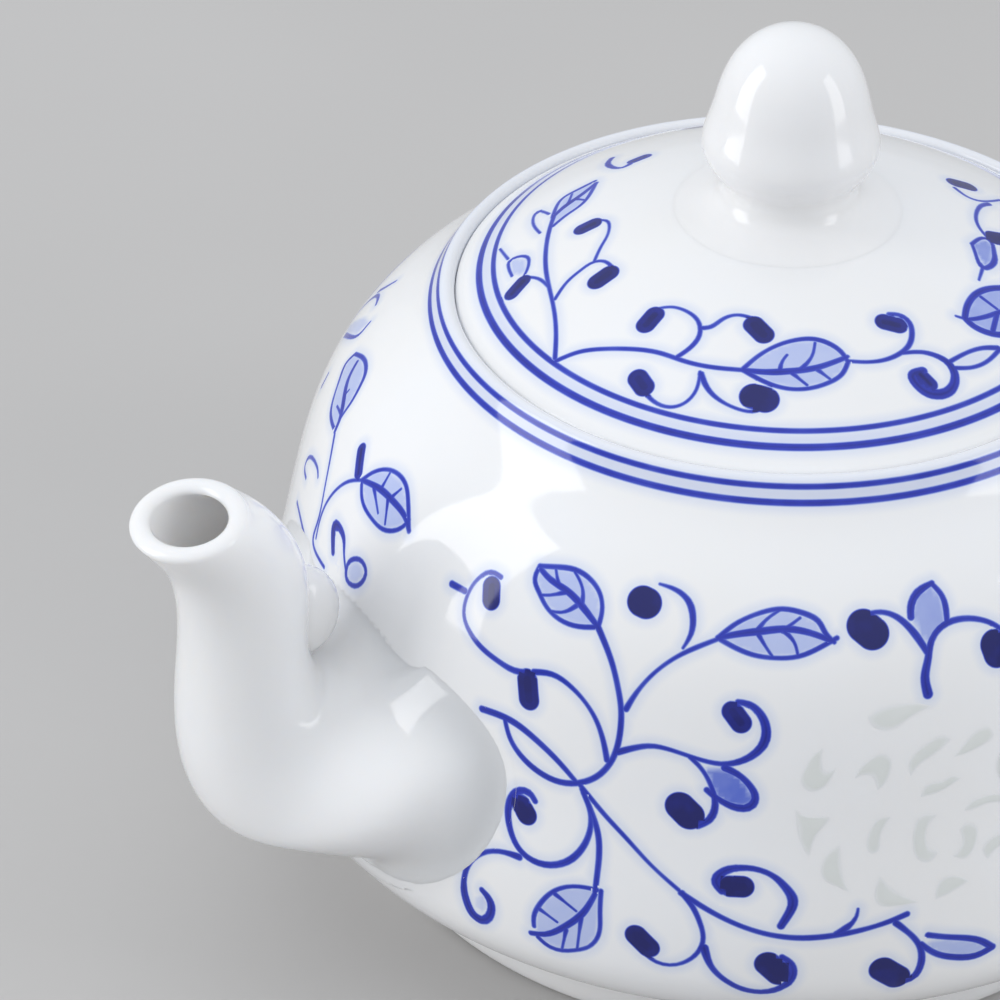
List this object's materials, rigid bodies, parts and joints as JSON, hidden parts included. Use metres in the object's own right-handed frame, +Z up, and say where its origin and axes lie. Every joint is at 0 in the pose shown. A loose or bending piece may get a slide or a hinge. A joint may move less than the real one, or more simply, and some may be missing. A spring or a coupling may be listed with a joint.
{
  "type": "porcelain teapot",
  "caption": "Squat domed porcelain teapot with a curved spout, ear handle, lift-off domed lid with a bud knob, painted blue vines and glaze-filled pierced windows.",
  "frame": {"origin": "on the table at the pot's axis, under the middle of the foot ring", "axes": "+Z up along the pot's axis, -X towards the spout, +X towards the handle, -Y towards the front medallion"},
  "size_m": [0.2043, 0.15, 0.1298],
  "materials": {
    "painted_porcelain": "white porcelain with cobalt painting under a clear gloss glaze",
    "white_porcelain": "plain white porcelain under a clear gloss glaze",
    "bare_porcelain": "unglazed fine white porcelain",
    "clear_glaze": "translucent grey-green glaze, gloss"
  },
  "bodies": {
    "pot": {"pot_body": "painted_porcelain", "foot_ring": "white_porcelain", "spout": "white_porcelain", "spout_lug": "white_porcelain", "handle": "white_porcelain", "glaze_windows_front": "clear_glaze", "glaze_windows_back": "clear_glaze"},
    "lid": {"lid": "painted_porcelain", "lid_skirt": "bare_porcelain", "knob": "white_porcelain"}
  },
  "joints": [
    {"name": "lid_lift", "type": "slide", "parent": "pot", "child": "lid", "axis": [0, 0, 1], "range_m": [0, 0.06]}
  ]
}
